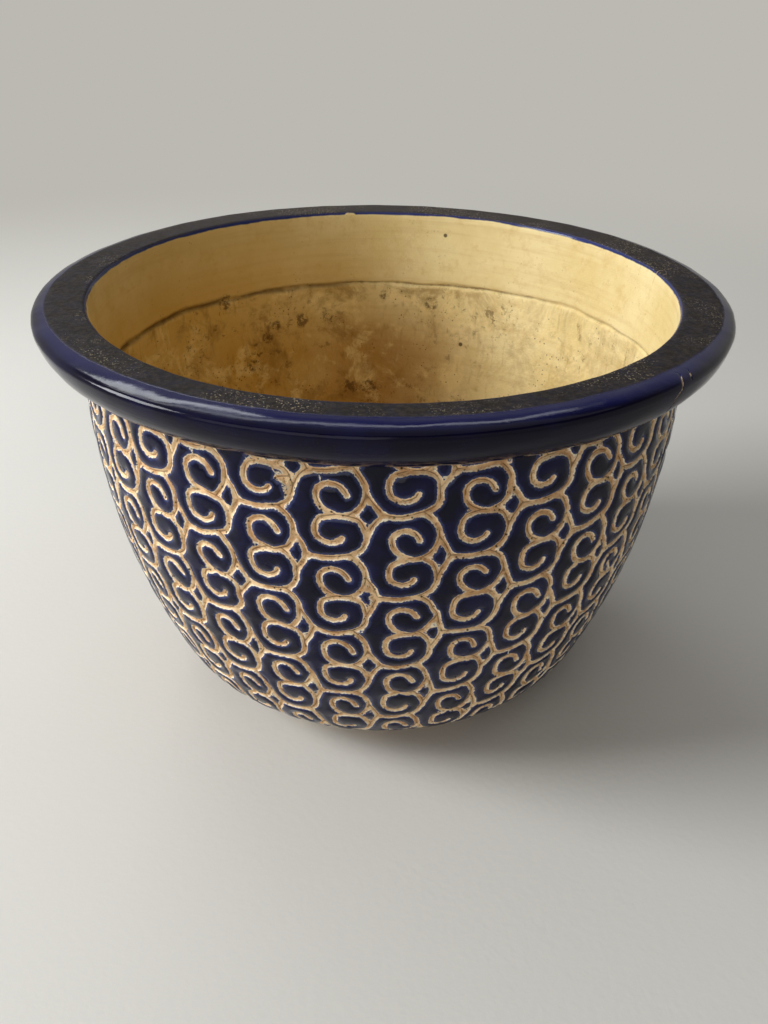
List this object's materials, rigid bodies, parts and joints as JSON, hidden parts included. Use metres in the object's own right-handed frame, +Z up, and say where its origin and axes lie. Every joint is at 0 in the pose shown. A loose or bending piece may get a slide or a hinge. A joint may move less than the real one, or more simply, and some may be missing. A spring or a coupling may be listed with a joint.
{
  "type": "cracked flower pot",
  "caption": "Deep round glazed clay flower pot with a heavy rolled rim, carved scroll sides, a bare clay inside, cracks, a foot ring and a drain hole.",
  "frame": {"origin": "middle of the underside of the foot ring, on the surface that the pot stands on", "axes": "+Z up along the pot's axis; -Y is the front, the side with the crack over the rim to its right"},
  "size_m": [0.3, 0.3, 0.195],
  "materials": {
    "glazed_clay": "glossy cobalt glaze over carved buff clay, dusty on the rim and bare inside"
  },
  "bodies": {
    "root": {"pot": "glazed_clay"}
  },
  "joints": []
}
